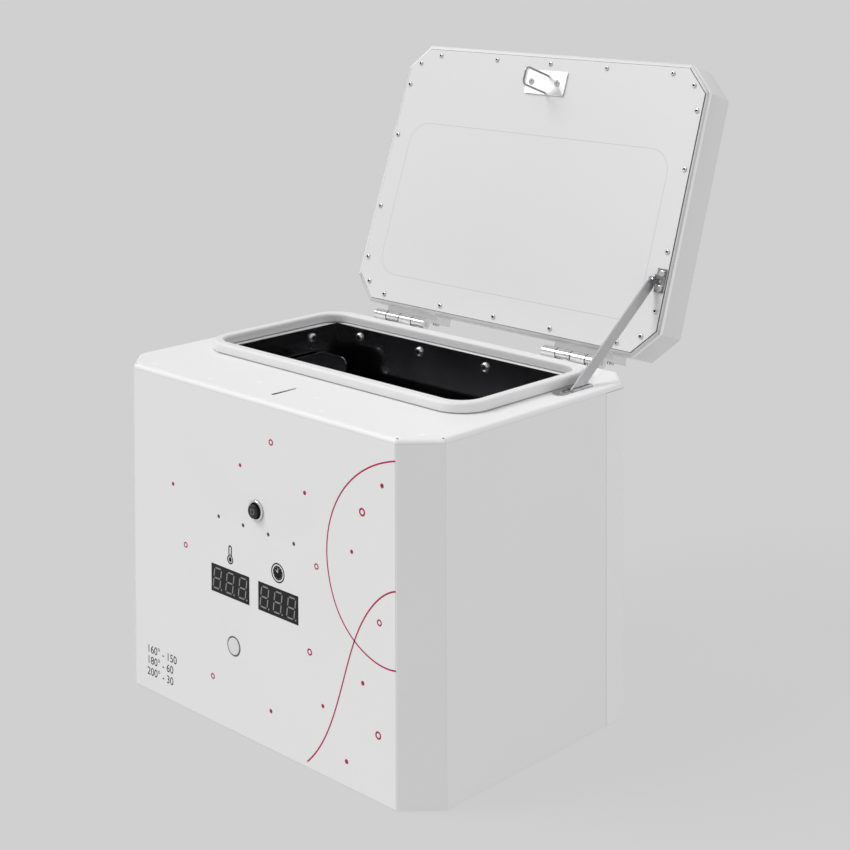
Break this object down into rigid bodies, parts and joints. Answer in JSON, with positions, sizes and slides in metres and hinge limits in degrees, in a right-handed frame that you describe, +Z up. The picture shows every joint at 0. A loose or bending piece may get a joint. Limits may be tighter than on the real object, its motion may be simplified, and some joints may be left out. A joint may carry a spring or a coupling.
{
  "type": "dry heat sterilizer",
  "caption": "Bench dry heat sterilizer with an octagonal white casing, a polished chamber, a gasketed top lid on rear hinges with a slotted stay, and a front panel with displays and buttons.",
  "frame": {"origin": "centre of the base underside, where the pads rest", "axes": "+Z up, the control panel faces -Y, the right side faces +X, the lid hinges at the rear towards +Y"},
  "size_m": [0.45, 0.4905, 0.6441],
  "materials": {
    "white_enamel": "fine textured white powder coat, satin",
    "plated_sheet": "zinc plated sheet",
    "polished_steel": "mirror polished stainless sheet",
    "plated_hardware": "bright plated",
    "hinge_steel": "polished steel",
    "stay_steel": "plated steel, lightly brushed",
    "mineral_wool": "matted mineral fibre",
    "mica_heater": "mica panel",
    "white_silicone": "smooth white silicone",
    "foot_rubber": "matt black rubber",
    "sensor_metal": "plain plated metal",
    "black_plastic": "fine satin black",
    "switch_metal": "bright plated bezel",
    "white_plastic": "satin white",
    "grey_plastic": "satin grey",
    "lamp_lens": "small smoked lenses",
    "display_window": "dark filter window",
    "circuit_board": "green solder mask"
  },
  "bodies": {
    "base": {"base_plate": "plated_sheet", "board_standoffs": "plated_hardware", "chamber": "polished_steel", "chamber_gasket": "white_silicone", "chamber_insulation": "mineral_wool", "chamber_screws": "plated_hardware", "chamber_supports": "plated_sheet", "control_board": "circuit_board", "foot_pads": "foot_rubber", "heater_panels": "mica_heater", "heater_relay": "black_plastic", "hinge_body_leaves": "hinge_steel", "hinge_body_packers": "hinge_steel", "hinge_body_screws": "plated_hardware", "hinge_pins": "hinge_steel", "lock_housing": "plated_sheet", "lock_solenoid": "sensor_metal", "main_shell": "white_enamel", "mains_inlet": "black_plastic", "mains_inlet_screws": "plated_hardware", "overheat_cutout": "sensor_metal", "power_switch": "switch_metal", "power_switch_nut": "plated_hardware", "program_switch": "grey_plastic", "rear_cover": "white_enamel", "rear_cover_screws": "plated_hardware", "rear_rail": "white_enamel", "status_leds": "lamp_lens", "stay_faceplate": "stay_steel", "stay_faceplate_screws": "plated_hardware", "temperature_display": "display_window", "temperature_sensor": "sensor_metal", "terminal_block": "white_plastic", "time_display": "display_window", "transformer": "sensor_metal"},
    "lid": {"lid_shell": "white_enamel", "lid_plate": "white_enamel", "lid_plate_screws": "plated_hardware", "lid_insulation": "mineral_wool", "hinge_lid_leaves": "hinge_steel", "hinge_lid_packers": "hinge_steel", "hinge_lid_screws": "plated_hardware", "stay_bracket": "stay_steel", "stay_bracket_screws": "plated_hardware", "stay_rivet": "stay_steel", "striker_plate": "hinge_steel", "striker_loop": "hinge_steel", "striker_screws": "plated_hardware"},
    "stay": {"stay_arm": "stay_steel", "stay_stop_pin": "stay_steel"},
    "power_button": {"power_button": "black_plastic"},
    "program_button": {"program_button": "white_plastic"}
  },
  "joints": [
    {"name": "lid_hinge", "type": "hinge", "parent": "base", "child": "lid", "pos_m": [0, 0.169, 0.3402], "axis": [1, 0, 0], "range_deg": [0, 109.83]},
    {"name": "stay_pivot", "type": "hinge", "parent": "lid", "child": "stay", "pos_m": [0.204, 0.20492, 0.42685], "axis": [1, 0, 0], "range_deg": [-49.6, 0]},
    {"name": "power_press", "type": "slide", "parent": "base", "child": "power_button", "axis": [0, 1, 0], "range_m": [0, 0.002], "stiffness_N_per_m": 300, "springref_m": -0.002},
    {"name": "program_press", "type": "slide", "parent": "base", "child": "program_button", "axis": [0, 1, 0], "range_m": [0, 0.001], "stiffness_N_per_m": 300, "springref_m": -0.002}
  ],
  "couplings": [
    {"joint": "stay_pivot", "follows": "lid_hinge", "ratio": -0.45}
  ]
}
